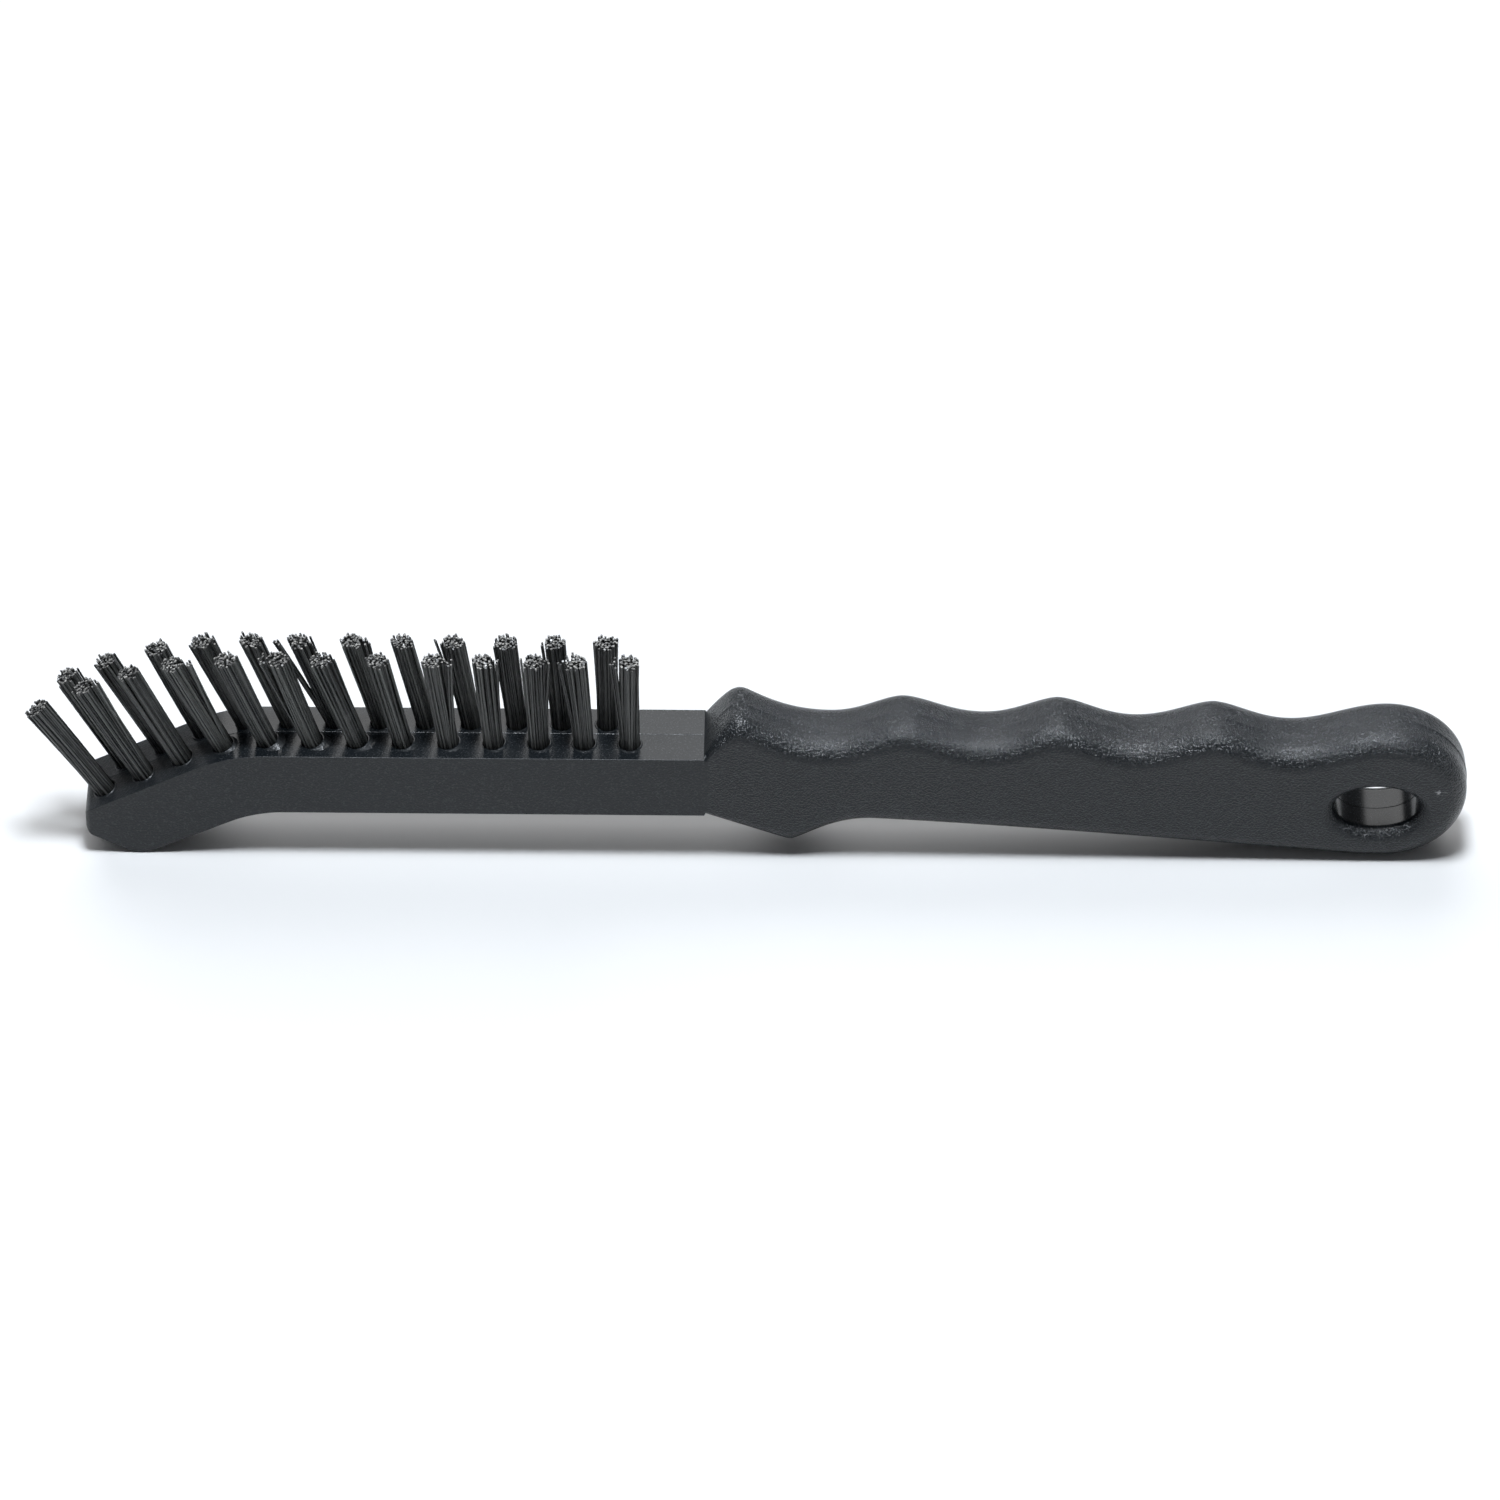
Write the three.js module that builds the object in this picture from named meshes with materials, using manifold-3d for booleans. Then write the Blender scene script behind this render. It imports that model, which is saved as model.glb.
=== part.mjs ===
import * as THREE from 'three';
import { mergeVertices } from 'three/addons/utils/BufferGeometryUtils.js';
import Module from 'manifold-3d';

const wasm = await Module();
wasm.setup();

// A narrow two-row hand brush: a straight head whose tip bends down, and a handle with finger hollows.
// Lengths are in millimetres. +X runs from the tip to the handle end, -Y is the near side, and +Z is up,
// the way the bristles stand. The whole is centred at the end, so that the origin is the middle of the
// bounding box's base.

// Side outline of the moulded body. A pair is [x, z].
const HEAD_TOP = 24.6;
const HEAD_BASE = 10.4;
const TIP_X = -120.6;
const TOP_BEND = { x: -94, radius: 28, angle: THREE.MathUtils.degToRad(28.2) };
const BASE_BEND = { radius: 22, angle: THREE.MathUtils.degToRad(27.5) };
const NOSE = { x: -110.6, radius: 5.1, chamfer: THREE.MathUtils.degToRad(29.5) };
const COLLAR_FOOT = [-7.1, HEAD_TOP];
const CRESTS = [[-0.8, 33.1], [29.1, 30.9], [57.4, 30.8], [85.8, 30.1], [117.6, 29.8]];
const HOLLOWS = [[16.1, 27.1], [44, 27], [71.8, 26.6], [100.1, 26]];
const COLLAR_KEEL = [8.7, 2.6];
const SPINE_START = [23.4, 8];
const SPINE_END_X = 113;

// How tightly each crest and the keel are drawn in beside their hollows: 1 is an even wave.
const CREST_TIGHTNESS = [0.58, 0.83, 0.82, 0.82, 1];
const KEEL_TIGHTNESS = 0.65;

// Powers that bend the collar's ramp, its underside and the spine away from straight lines.
const RAMP_CURVE = 1.4;
const KEEL_CURVE = 1.15;
const SPINE_CURVE = 1.17;

// Widths and edge radii of the body.
const HALF_WIDTH = 6.75;
const TIP_ROUNDING = 1.2;
const HEAD_EDGE = 0.45;
const GRIP_EDGE = 4;

// Round handle end with its hang hole. The radius is half of its height, and it is stretched lengthways.
const END = { x: 117.6, radius: 14.9 };
const HANG_HOLE = { x: 116, z: 12.65, radius: 5.25, rim: 2.3, stretch: 1.48 };

// Two staggered rows of tufts, each doubled over a flat metal anchor at the foot of its own blind hole.
const TUFT_COUNT = 25;
const FIRST_TUFT_X = -20.7;
const TUFT_STEP = 4.13;
const ROW_Y = 2.6;
const TUFT_RADIUS = 2;
const FULL_LEAN = THREE.MathUtils.degToRad(26);
const LEAN_EASE = 1.6;
const HOLE_DEPTH = 9;
const FOLD_THICKNESS = 1.2;
const ANCHOR = { length: 5.4, thickness: 0.4, height: 1.8 };
const GAP = 0.3;

// The bristle tips are trimmed level, and along an arc towards the tip from x = start.
const TRIM = { z: 45.2, start: -90, radius: 66 };

// Fineness of the faceted surfaces.
const CORNER_STEPS = 3;
const TUFT_SIDES = 12;
const ROUND_STEPS = 36;

const materials = {
  body: new THREE.MeshStandardMaterial({ color: 0x3c3f41, roughness: 0.55, metalness: 0 }),
  filament: new THREE.MeshStandardMaterial({ color: 0x3b3c3b, roughness: 0.45, metalness: 0 }),
  anchor: new THREE.MeshStandardMaterial({ color: 0xb8b2a2, roughness: 0.35, metalness: 1 }),
};

// Solid for cutting and joining, from any closed three.js geometry.
function solidOf(geometry) {
  const bare = geometry.clone();
  bare.deleteAttribute('normal');
  bare.deleteAttribute('uv');
  const merged = mergeVertices(bare);
  const vertProperties = new Float32Array(merged.attributes.position.array);
  const triVerts = new Uint32Array(merged.index.array);
  return new wasm.Manifold(new wasm.Mesh({ numProp: 3, vertProperties, triVerts }));
}

function geometryOf(solid) {
  const { vertProperties, triVerts } = solid.getMesh();
  const geometry = new THREE.BufferGeometry();
  geometry.setAttribute('position', new THREE.BufferAttribute(vertProperties, 3));
  geometry.setIndex(new THREE.BufferAttribute(triVerts, 1));
  return geometry;
}

// How far a line has dropped at x, going level, round an arc and then down a slope towards the tip.
function bendDrop(x, bendX, { radius, angle }) {
  const along = bendX + radius * Math.tan(angle / 2) - x;
  if (along <= 0) return 0;
  if (along < radius * Math.sin(angle)) return radius - Math.sqrt(radius ** 2 - along ** 2);
  return Math.tan(angle) * (bendX - x);
}

// Height at x on the wave between a crest and the hollow beside it.
function waveHeight(x, crest, hollow, tightness) {
  const t = (x - crest[0]) / (hollow[0] - crest[0]);
  return crest[1] + (hollow[1] - crest[1]) * (1 - Math.cos(Math.PI * t ** tightness)) / 2;
}

function gripTop(x) {
  if (x < CRESTS[0][0]) {
    const t = (x - COLLAR_FOOT[0]) / (CRESTS[0][0] - COLLAR_FOOT[0]);
    return COLLAR_FOOT[1] + (CRESTS[0][1] - COLLAR_FOOT[1]) * (1 - (1 - t) ** RAMP_CURVE);
  }
  const before = Math.max(0, CRESTS.findIndex((crest) => crest[0] >= x) - 1);
  const hollow = HOLLOWS[before];
  const nearest = x > hollow[0] ? before + 1 : before;
  return waveHeight(x, CRESTS[nearest], hollow, CREST_TIGHTNESS[nearest]);
}

function gripBase(x) {
  if (x < COLLAR_KEEL[0]) {
    const t = (COLLAR_KEEL[0] - x) / (COLLAR_KEEL[0] - COLLAR_FOOT[0]);
    return COLLAR_KEEL[1] + (HEAD_BASE - COLLAR_KEEL[1]) * t ** KEEL_CURVE;
  }
  if (x < SPINE_START[0]) return waveHeight(x, COLLAR_KEEL, SPINE_START, KEEL_TIGHTNESS);
  const t = Math.min(1, (x - SPINE_START[0]) / (SPINE_END_X - SPINE_START[0]));
  return SPINE_START[1] * (1 - t ** SPINE_CURVE);
}

const headTop = (x) => HEAD_TOP - bendDrop(x, TOP_BEND.x, TOP_BEND);

// Depth at which a slope tangent to the nose's arc would meet the nose's middle, below its lowest point.
const noseUndershoot = (angle) => NOSE.radius * (1 / Math.cos(angle) - 1);

// Underside of the head: level, down to the nose, round it, and up a chamfer to the tip's end.
function headBase(x) {
  const { radius, chamfer } = NOSE;
  const { angle } = BASE_BEND;
  const fromNose = x - NOSE.x;
  if (fromNose < -radius * Math.sin(chamfer)) return -fromNose * Math.tan(chamfer) - noseUndershoot(chamfer);
  if (fromNose < radius * Math.sin(angle)) return radius - Math.sqrt(radius ** 2 - fromNose ** 2);
  const bendX = NOSE.x + (HEAD_BASE + noseUndershoot(angle)) / Math.tan(angle);
  return HEAD_BASE - bendDrop(x, bendX, BASE_BEND);
}

// Edge radius at x, growing from the head's to the grip's between the collar's foot and x = full.
function growingEdge(x, full) {
  const t = Math.min(1, (x - COLLAR_FOOT[0]) / (full - COLLAR_FOOT[0]));
  return HEAD_EDGE + (GRIP_EDGE - HEAD_EDGE) * Math.sin(t * Math.PI / 2);
}

// The body's cross-section at x: top, base, half width, and the edge radii along the top and the base.
function section(x) {
  if (x > COLLAR_FOOT[0]) {
    const topEdge = growingEdge(x, CRESTS[0][0]);
    const baseEdge = growingEdge(x, COLLAR_KEEL[0]);
    return { top: gripTop(x), base: gripBase(x), half: HALF_WIDTH, topEdge, baseEdge };
  }
  const short = THREE.MathUtils.clamp(TIP_X + TIP_ROUNDING - x, 0, TIP_ROUNDING);
  const inset = TIP_ROUNDING - Math.sqrt(TIP_ROUNDING ** 2 - short ** 2);
  const half = HALF_WIDTH - inset;
  return { top: headTop(x) - inset, base: headBase(x) + inset, half, topEdge: HEAD_EDGE, baseEdge: HEAD_EDGE };
}

// The points of the rounded rectangle at x, anticlockwise seen from the handle end.
function ring(x) {
  const { top, base, half, topEdge, baseEdge } = section(x);
  const corners = [
    [half - topEdge, top - topEdge, topEdge],
    [topEdge - half, top - topEdge, topEdge],
    [baseEdge - half, base + baseEdge, baseEdge],
    [half - baseEdge, base + baseEdge, baseEdge],
  ];
  return corners.flatMap(([y, z, edge], quarter) => Array.from({ length: CORNER_STEPS + 1 }, (_, step) => {
    const angle = (quarter + step / CORNER_STEPS) * Math.PI / 2;
    return new THREE.Vector3(x, y + edge * Math.cos(angle), z + edge * Math.sin(angle));
  }));
}

function spaced(from, to, count) {
  return Array.from({ length: count }, (_, i) => from + (to - from) * i / count);
}

function stations() {
  const tipEnd = spaced(0, Math.PI / 2, 4).map((a) => TIP_X + TIP_ROUNDING * (1 - Math.cos(a)));
  return [
    ...tipEnd,
    ...spaced(TIP_X + TIP_ROUNDING, -82, 22),
    ...spaced(-82, COLLAR_FOOT[0], 3),
    ...spaced(COLLAR_FOOT[0], CRESTS[0][0], 8),
    ...spaced(CRESTS[0][0], END.x, 54),
    END.x,
  ];
}

// Skin through the rings, closed by a fan at each end.
function bodyLoft() {
  const rings = stations().map(ring);
  const size = rings[0].length;
  const points = rings.flat();
  const faces = [];
  for (let r = 0; r + 1 < rings.length; r += 1) {
    for (let i = 0; i < size; i += 1) {
      const a = r * size + i;
      const b = r * size + (i + 1) % size;
      faces.push(a, b, b + size, a, b + size, a + size);
    }
  }
  const last = (rings.length - 1) * size;
  for (let i = 1; i + 1 < size; i += 1) {
    faces.push(0, i + 1, i);
    faces.push(last, last + i, last + i + 1);
  }
  const geometry = new THREE.BufferGeometry().setFromPoints(points);
  geometry.setIndex(faces);
  return geometry;
}

const arcPoints = (x, y, radius, from, to) => new THREE.EllipseCurve(x, y, radius, radius, from, to, from > to)
  .getPoints(CORNER_STEPS);

// Round handle end: a disc across the width, with the grip's edge radius on both rims.
function endDisc() {
  const flat = END.radius - GRIP_EDGE;
  const side = HALF_WIDTH - GRIP_EDGE;
  const profile = [
    new THREE.Vector2(0, -HALF_WIDTH),
    ...arcPoints(flat, -side, GRIP_EDGE, -Math.PI / 2, 0),
    ...arcPoints(flat, side, GRIP_EDGE, 0, Math.PI / 2),
    new THREE.Vector2(0, HALF_WIDTH),
  ];
  return new THREE.LatheGeometry(profile, ROUND_STEPS).translate(END.x, 0, END.radius);
}

// Cutter for the hang hole: an oval bore that flares out over a rounded rim on each side.
function hangHoleCutter() {
  const { x, z, radius, rim, stretch } = HANG_HOLE;
  const flare = radius + rim;
  const profile = [
    new THREE.Vector2(0, -HALF_WIDTH - 1),
    new THREE.Vector2(flare, -HALF_WIDTH - 1),
    ...arcPoints(flare, rim - HALF_WIDTH, rim, -Math.PI / 2, -Math.PI),
    ...arcPoints(flare, HALF_WIDTH - rim, rim, Math.PI, Math.PI / 2),
    new THREE.Vector2(flare, HALF_WIDTH + 1),
    new THREE.Vector2(0, HALF_WIDTH + 1),
  ];
  return new THREE.LatheGeometry(profile, ROUND_STEPS).scale(stretch, 1, 1).translate(x, 0, z);
}

// An upright round bar from z = low to z = high, on the Z axis.
function uprightBar(radius, low, high) {
  const bar = new THREE.CylinderGeometry(radius, radius, high - low, TUFT_SIDES);
  return bar.rotateX(Math.PI / 2).translate(0, 0, (low + high) / 2);
}

const ANCHOR_MIDDLE = -HOLE_DEPTH + GAP + FOLD_THICKNESS + GAP + ANCHOR.height / 2;

// A block round the anchor's place, larger than the anchor by the margin on every side.
function anchorBlock(margin) {
  const { length, thickness, height } = ANCHOR;
  const block = new THREE.BoxGeometry(length + 2 * margin, thickness + 2 * margin, height + 2 * margin);
  return block.translate(0, 0, ANCHOR_MIDDLE);
}

// Where the point a given length along the head's top line from the first tuft lies.
function pointAlongHead(length) {
  let x = FIRST_TUFT_X;
  const stride = 0.05;
  for (let run = 0; run < length; run += stride) {
    const slope = (headTop(x) - headTop(x - stride)) / stride;
    x -= stride / Math.hypot(1, slope);
  }
  return x;
}

// Length of a tuft above the head's surface at [x, z], up to where its axis meets the trim.
function trimmedLength(x, z, lean) {
  const level = (TRIM.z - z) / Math.cos(lean);
  if (x - level * Math.sin(lean) > TRIM.start) return level;
  const fromCentre = new THREE.Vector2(x - TRIM.start, z - TRIM.z + TRIM.radius);
  const along = fromCentre.dot(new THREE.Vector2(-Math.sin(lean), Math.cos(lean)));
  return Math.sqrt(along ** 2 + TRIM.radius ** 2 - fromCentre.lengthSq()) - along;
}

// Places of all tufts, from the collar to the tip. Even ones stand in the near row, odd ones in the far row.
function tuftPlaces() {
  return Array.from({ length: TUFT_COUNT }, (_, i) => {
    const x = pointAlongHead(i * TUFT_STEP);
    const z = headTop(x);
    const lean = FULL_LEAN * Math.sin(Math.PI / 2 * i / (TUFT_COUNT - 1)) ** LEAN_EASE;
    const near = i % 2 === 0;
    const number = String(Math.floor(i / 2) + 1).padStart(2, '0');
    return {
      label: `${near ? 'near' : 'far'}_${number}`,
      position: new THREE.Vector3(x, near ? -ROW_Y : ROW_Y, z),
      lean,
      length: trimmedLength(x, z, lean),
    };
  });
}

// Blind hole for one tuft, with the slots that its anchor bites into the walls.
function tuftHoleCutter({ position, lean }) {
  const hole = solidOf(uprightBar(TUFT_RADIUS + GAP, -HOLE_DEPTH, HOLE_DEPTH));
  const slots = solidOf(anchorBlock(GAP));
  const cutter = geometryOf(hole.add(slots));
  return solidOf(cutter.rotateY(-lean).translate(position.x, position.y, position.z));
}

function brushBody(places) {
  let solid = solidOf(bodyLoft()).add(solidOf(endDisc())).subtract(solidOf(hangHoleCutter()));
  for (const place of places) solid = solid.subtract(tuftHoleCutter(place));
  const body = new THREE.Mesh(geometryOf(solid), materials.body);
  body.name = 'brush_body';
  return body;
}

// One tuft with its anchor, in a group that stands on the head's surface and leans with its hole.
function tuftAssembly({ label, position, lean, length }) {
  const bundle = solidOf(uprightBar(TUFT_RADIUS, GAP - HOLE_DEPTH, length));
  const tuft = new THREE.Mesh(geometryOf(bundle.subtract(solidOf(anchorBlock(GAP)))), materials.filament);
  tuft.name = `tuft_${label}`;
  const anchor = new THREE.Mesh(anchorBlock(0), materials.anchor);
  anchor.name = `anchor_${label}`;
  const group = new THREE.Group();
  group.position.copy(position);
  group.rotation.y = -lean;
  group.add(tuft, anchor);
  return group;
}

const places = tuftPlaces();
const brush = new THREE.Group();
brush.name = 'hand_brush';
brush.add(brushBody(places));
for (const place of places) brush.add(tuftAssembly(place));
brush.position.x = -new THREE.Box3().setFromObject(brush).getCenter(new THREE.Vector3()).x;

export default brush;
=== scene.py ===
"""Looks of the two-row hand brush: a moulded body, bundles of separate bristles, and their metal anchors."""

import math
import random

import bmesh
import bpy
import numpy as np
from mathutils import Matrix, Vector


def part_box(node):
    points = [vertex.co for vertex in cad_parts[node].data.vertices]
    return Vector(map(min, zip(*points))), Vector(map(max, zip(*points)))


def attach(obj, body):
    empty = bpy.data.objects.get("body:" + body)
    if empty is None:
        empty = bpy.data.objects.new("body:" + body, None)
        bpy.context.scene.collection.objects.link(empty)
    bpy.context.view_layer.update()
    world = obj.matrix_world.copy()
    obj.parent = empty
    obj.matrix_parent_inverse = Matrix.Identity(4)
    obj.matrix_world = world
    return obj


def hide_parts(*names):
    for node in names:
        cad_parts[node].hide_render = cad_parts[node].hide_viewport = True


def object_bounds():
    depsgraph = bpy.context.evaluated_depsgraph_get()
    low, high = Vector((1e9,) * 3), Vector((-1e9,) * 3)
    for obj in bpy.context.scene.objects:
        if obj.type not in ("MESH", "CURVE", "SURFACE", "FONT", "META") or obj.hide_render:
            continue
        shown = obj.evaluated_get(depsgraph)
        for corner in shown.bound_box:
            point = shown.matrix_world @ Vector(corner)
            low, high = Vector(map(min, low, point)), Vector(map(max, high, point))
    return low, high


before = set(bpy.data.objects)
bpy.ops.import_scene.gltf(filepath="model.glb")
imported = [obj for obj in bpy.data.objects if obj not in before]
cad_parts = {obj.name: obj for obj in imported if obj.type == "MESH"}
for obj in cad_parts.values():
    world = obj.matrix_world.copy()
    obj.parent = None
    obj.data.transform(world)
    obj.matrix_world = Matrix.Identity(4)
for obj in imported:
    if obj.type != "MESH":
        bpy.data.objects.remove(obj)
cad_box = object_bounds()

MM = 0.001  # lengths below are in millimetres, and meshes are made in metres

# ---------------------------------------------------------------- sizes of the body
# The outline is drawn on the design's own X axis, which starts near the first crest of the grip.
HEAD_TOP = 24.6
HEAD_BASE = 10.4
TIP_X = -120.6
TIP_ROUNDING = 1.2
TOP_BEND_X = -94.0
TOP_BEND_RADIUS = 28.0
TOP_BEND_ANGLE = math.radians(28.2)
BASE_BEND_RADIUS = 22.0
BASE_BEND_ANGLE = math.radians(27.5)
NOSE_X = -110.6
NOSE_RADIUS = 5.1
NOSE_CHAMFER = math.radians(29.5)

FOOT_X = -7.1  # the head's flat top ends here and the collar's ramp rises from it
CRESTS = [(-0.8, 33.1), (29.1, 30.9), (57.4, 30.8), (85.8, 30.1), (117.6, 29.8)]
HOLLOWS = [(16.1, 27.1), (44.0, 27.0), (71.8, 26.6), (100.1, 26.0)]
CREST_TIGHTNESS = [0.58, 0.83, 0.82, 0.82, 1.0]
CREST_ROUNDING = 1.4
RAMP_CURVE = 1.4
KEEL = (8.7, 2.6)
KEEL_TIGHTNESS = 0.65
KEEL_CURVE = 1.15
SPINE_START = (23.4, 8.0)
SPINE_END_X = 113.0
SPINE_CURVE = 1.17

HALF_WIDTH = 6.75
HEAD_EDGE = 0.08
FOOT_EDGE = 1.5
GRIP_EDGE = 4.0
END_X = 117.6
END_RADIUS = 14.9

HOLE_X = 116.0
HOLE_Z = 12.65
HOLE_RADIUS = 5.25  # half of the hole's height
HOLE_RIM = 2.3
HOLE_STRETCH = 1.48  # the hole's width over its height

# Mould halves meet on the middle plane: a fine raised line, with the faces beside it drafted down to the edges.
PARTING_HALF = 0.16
PARTING_HEIGHT = 0.08
DRAFT = math.tan(math.radians(0.9))

# Steps of the mesh.
EDGE_STEPS = 8
END_TURNS = 72
RIM_STEPS = 10
BORE_TURNS = 112
BAR_SIDES = 40

# ---------------------------------------------------------------- sizes of the bristles
TUFT_RADIUS = 2.0
TUFT_DEPTH = 8.7
HOLE_CLEARANCE = 0.07
HOLE_SPARE = 0.3  # depth left under the strands
LIP_HEIGHT = 0.16  # plastic pushed up around each hole when its tuft was driven in
LIP_REACH = 0.6
STRAND_RADIUS = 0.215
STRANDS = 70  # ends in one tuft
STRAND_SIDES = 6
STRAND_SPREAD = 1.09  # how much wider a tuft is at its tip than at the head
GOLDEN_ANGLE = math.pi * (3 - math.sqrt(5))

TRIM_START_X = -90.0
TRIM_RADIUS = 66.0
TRIM_LOSS = 0.35  # the ragged cut ends lie a little below the trim line on average
CUT_SLANT = 24  # degrees, at most

# Standard deviations of the bristles' small differences, in millimetres, except the lean's, in degrees.
FOOT_SCATTER = 0.05
SPREAD_SCATTER = 0.03  # of STRAND_SPREAD, so it has no unit
TIP_SCATTER = 0.17
LENGTH_SCATTER = 0.18
LEAN_SCATTER = 0.28

# Heights on a tuft's axis, from the head's surface. The anchor lies across the bottom of the hole.
NECK = -2.4
ANCHOR_TOP = -5.2
ANCHOR_FOOT = -7.2
ANCHOR_HALF = 0.45

# Tufts that were set a little off, in degrees towards the tip.
OFF_LEAN = {
    "near_02": 2.6, "near_03": -1.4, "near_04": -1.1, "near_05": -1.4, "near_07": 1.8, "near_08": -1.8,
    "near_09": -1.5, "near_11": -1.5, "near_12": -1.1, "near_13": 3.8, "far_02": 1.4, "far_03": 0.7,
    "far_04": 1.4, "far_05": 1.2, "far_07": 0.9, "far_08": -1.1, "far_09": -1.6, "far_10": -3.3, "far_12": -0.9,
}

# Bristles that stand away from their tuft: how many, and by how many degrees towards the tip.
STRAYS = {
    "near_01": (5, 3.5), "near_02": (3, 3.5), "near_03": (3, -3.0), "near_04": (3, -3.5), "near_05": (6, -4.5),
    "near_08": (6, 4.0), "near_10": (6, -4.5), "near_12": (3, -1.8), "near_13": (3, 1.5), "far_02": (2, 2.0),
    "far_04": (2, 4.5), "far_06": (4, -3.0), "far_07": (5, 7.0), "far_09": (3, -2.5), "far_12": (2, -2.5),
}

# ---------------------------------------------------------------- view
VIEW_AZIMUTH = math.radians(-0.68)
VIEW_ELEVATION = math.radians(43.36)
VIEW_DISTANCE = 1.7  # metres, and so are the next two: from the middle of the CAD box to the point aimed at
AIM_DROP = 0.0021
AIM_LEFT = 0.0004
LENS_LENGTH = 223.0536
SENSOR_WIDTH = 36.0

shift_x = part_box("brush_body")[1][0] / MM - END_X - END_RADIUS  # from the design's X axis to the frame's


# ---------------------------------------------------------------- body outline
def bend_drop(x, bend_x, radius, angle):
    """How far a line has dropped at x: level, then an arc, then a slope towards the tip."""
    along = bend_x + radius * math.tan(angle / 2) - x
    if along <= 0:
        return 0.0
    if along < radius * math.sin(angle):
        return radius - math.sqrt(radius**2 - along**2)
    return math.tan(angle) * (bend_x - x)


def wave(x, crest, hollow, tightness):
    """Height at x on the wave between a crest and the hollow beside it."""
    t = max(0.0, (x - crest[0]) / (hollow[0] - crest[0]))
    return crest[1] + (hollow[1] - crest[1]) * (1 - math.cos(math.pi * t**tightness)) / 2


def grip_line(x):
    """The grip's top line before its first crest is rounded: a ramp, then crests and hollows in turn."""
    if x < CRESTS[0][0]:
        t = (x - FOOT_X) / (CRESTS[0][0] - FOOT_X)
        return HEAD_TOP + (CRESTS[0][1] - HEAD_TOP) * (1 - (1 - t) ** RAMP_CURVE)
    before = max(0, next(i for i, crest in enumerate(CRESTS) if crest[0] >= x - 1e-6) - 1)
    nearest = before + 1 if x > HOLLOWS[before][0] else before
    return wave(x, CRESTS[nearest], HOLLOWS[before], CREST_TIGHTNESS[nearest])


def grip_top(x):
    """The grip's top line, with the first crest rounded over by averaging a short way to each side."""
    reach = max(0.0, min(CREST_ROUNDING, CREST_ROUNDING * 1.8 - abs(x - CRESTS[0][0]), x - FOOT_X))
    return sum(grip_line(x + reach * k / 4) for k in range(-4, 5)) / 9


def grip_base(x):
    """The grip's base line: down to the keel, up to the start of the spine, then slowly down to the end."""
    if x < KEEL[0]:
        t = (KEEL[0] - x) / (KEEL[0] - FOOT_X)
        return KEEL[1] + (HEAD_BASE - KEEL[1]) * t**KEEL_CURVE
    if x < SPINE_START[0]:
        return wave(x, KEEL, SPINE_START, KEEL_TIGHTNESS)
    t = min(1.0, (x - SPINE_START[0]) / (SPINE_END_X - SPINE_START[0]))
    return SPINE_START[1] * (1 - t**SPINE_CURVE)


def head_top(x):
    """The head's top line, which bends down towards the tip."""
    return HEAD_TOP - bend_drop(x, TOP_BEND_X, TOP_BEND_RADIUS, TOP_BEND_ANGLE)


def nose_undershoot(angle):
    """How far a line at this angle, which touches the nose's arc, would run below the arc's lowest point."""
    return NOSE_RADIUS * (1 / math.cos(angle) - 1)


def head_base(x):
    """The head's base line: the chamfer under the tip, the rounded nose, then the bend up to the level base."""
    from_nose = x - NOSE_X
    if from_nose < -NOSE_RADIUS * math.sin(NOSE_CHAMFER):
        return -from_nose * math.tan(NOSE_CHAMFER) - nose_undershoot(NOSE_CHAMFER)
    if from_nose < NOSE_RADIUS * math.sin(BASE_BEND_ANGLE):
        return NOSE_RADIUS - math.sqrt(NOSE_RADIUS**2 - from_nose**2)
    bend_x = NOSE_X + (HEAD_BASE + nose_undershoot(BASE_BEND_ANGLE)) / math.tan(BASE_BEND_ANGLE)
    return HEAD_BASE - bend_drop(x, bend_x, BASE_BEND_RADIUS, BASE_BEND_ANGLE)


def growing_edge(x, full_x):
    """Edge radius at x on the grip, which grows from the foot of the ramp to full_x."""
    t = min(1.0, (x - FOOT_X) / (full_x - FOOT_X))
    return FOOT_EDGE + (GRIP_EDGE - FOOT_EDGE) * math.sin(t * math.pi / 2)


def section(x):
    """Top, base, half width, top edge radius and base edge radius at x."""
    if x > FOOT_X:
        return grip_top(x), grip_base(x), HALF_WIDTH, growing_edge(x, CRESTS[0][0]), growing_edge(x, KEEL[0])
    short = min(TIP_ROUNDING, max(0.0, TIP_X + TIP_ROUNDING - x))
    inset = TIP_ROUNDING - math.sqrt(TIP_ROUNDING**2 - short**2)
    return head_top(x) - inset, head_base(x) + inset, HALF_WIDTH - inset, HEAD_EDGE, HEAD_EDGE


# ---------------------------------------------------------------- small mesh helpers
def new_object(name, mesh):
    """An object in the scene with this mesh."""
    obj = bpy.data.objects.new(name, mesh)
    bpy.context.scene.collection.objects.link(obj)
    return obj


def mesh_from(name, points, faces):
    """A mesh from points in millimetres on the design's X axis."""
    mesh = bpy.data.meshes.new(name)
    mesh.from_pydata([((x + shift_x) * MM, y * MM, z * MM) for x, y, z in points], [], faces)
    mesh.validate()
    return mesh


def outward(mesh):
    """Welds doubled points and turns every face outward."""
    bm = bmesh.new()
    bm.from_mesh(mesh)
    bmesh.ops.remove_doubles(bm, verts=bm.verts, dist=1e-7)
    bmesh.ops.recalc_face_normals(bm, faces=bm.faces)
    bm.to_mesh(mesh)
    bm.free()


def spaced(start, stop, step):
    """Even positions from start, about a step apart, without stop itself."""
    count = max(1, round((stop - start) / step))
    return [start + (stop - start) * i / count for i in range(count)]


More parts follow.
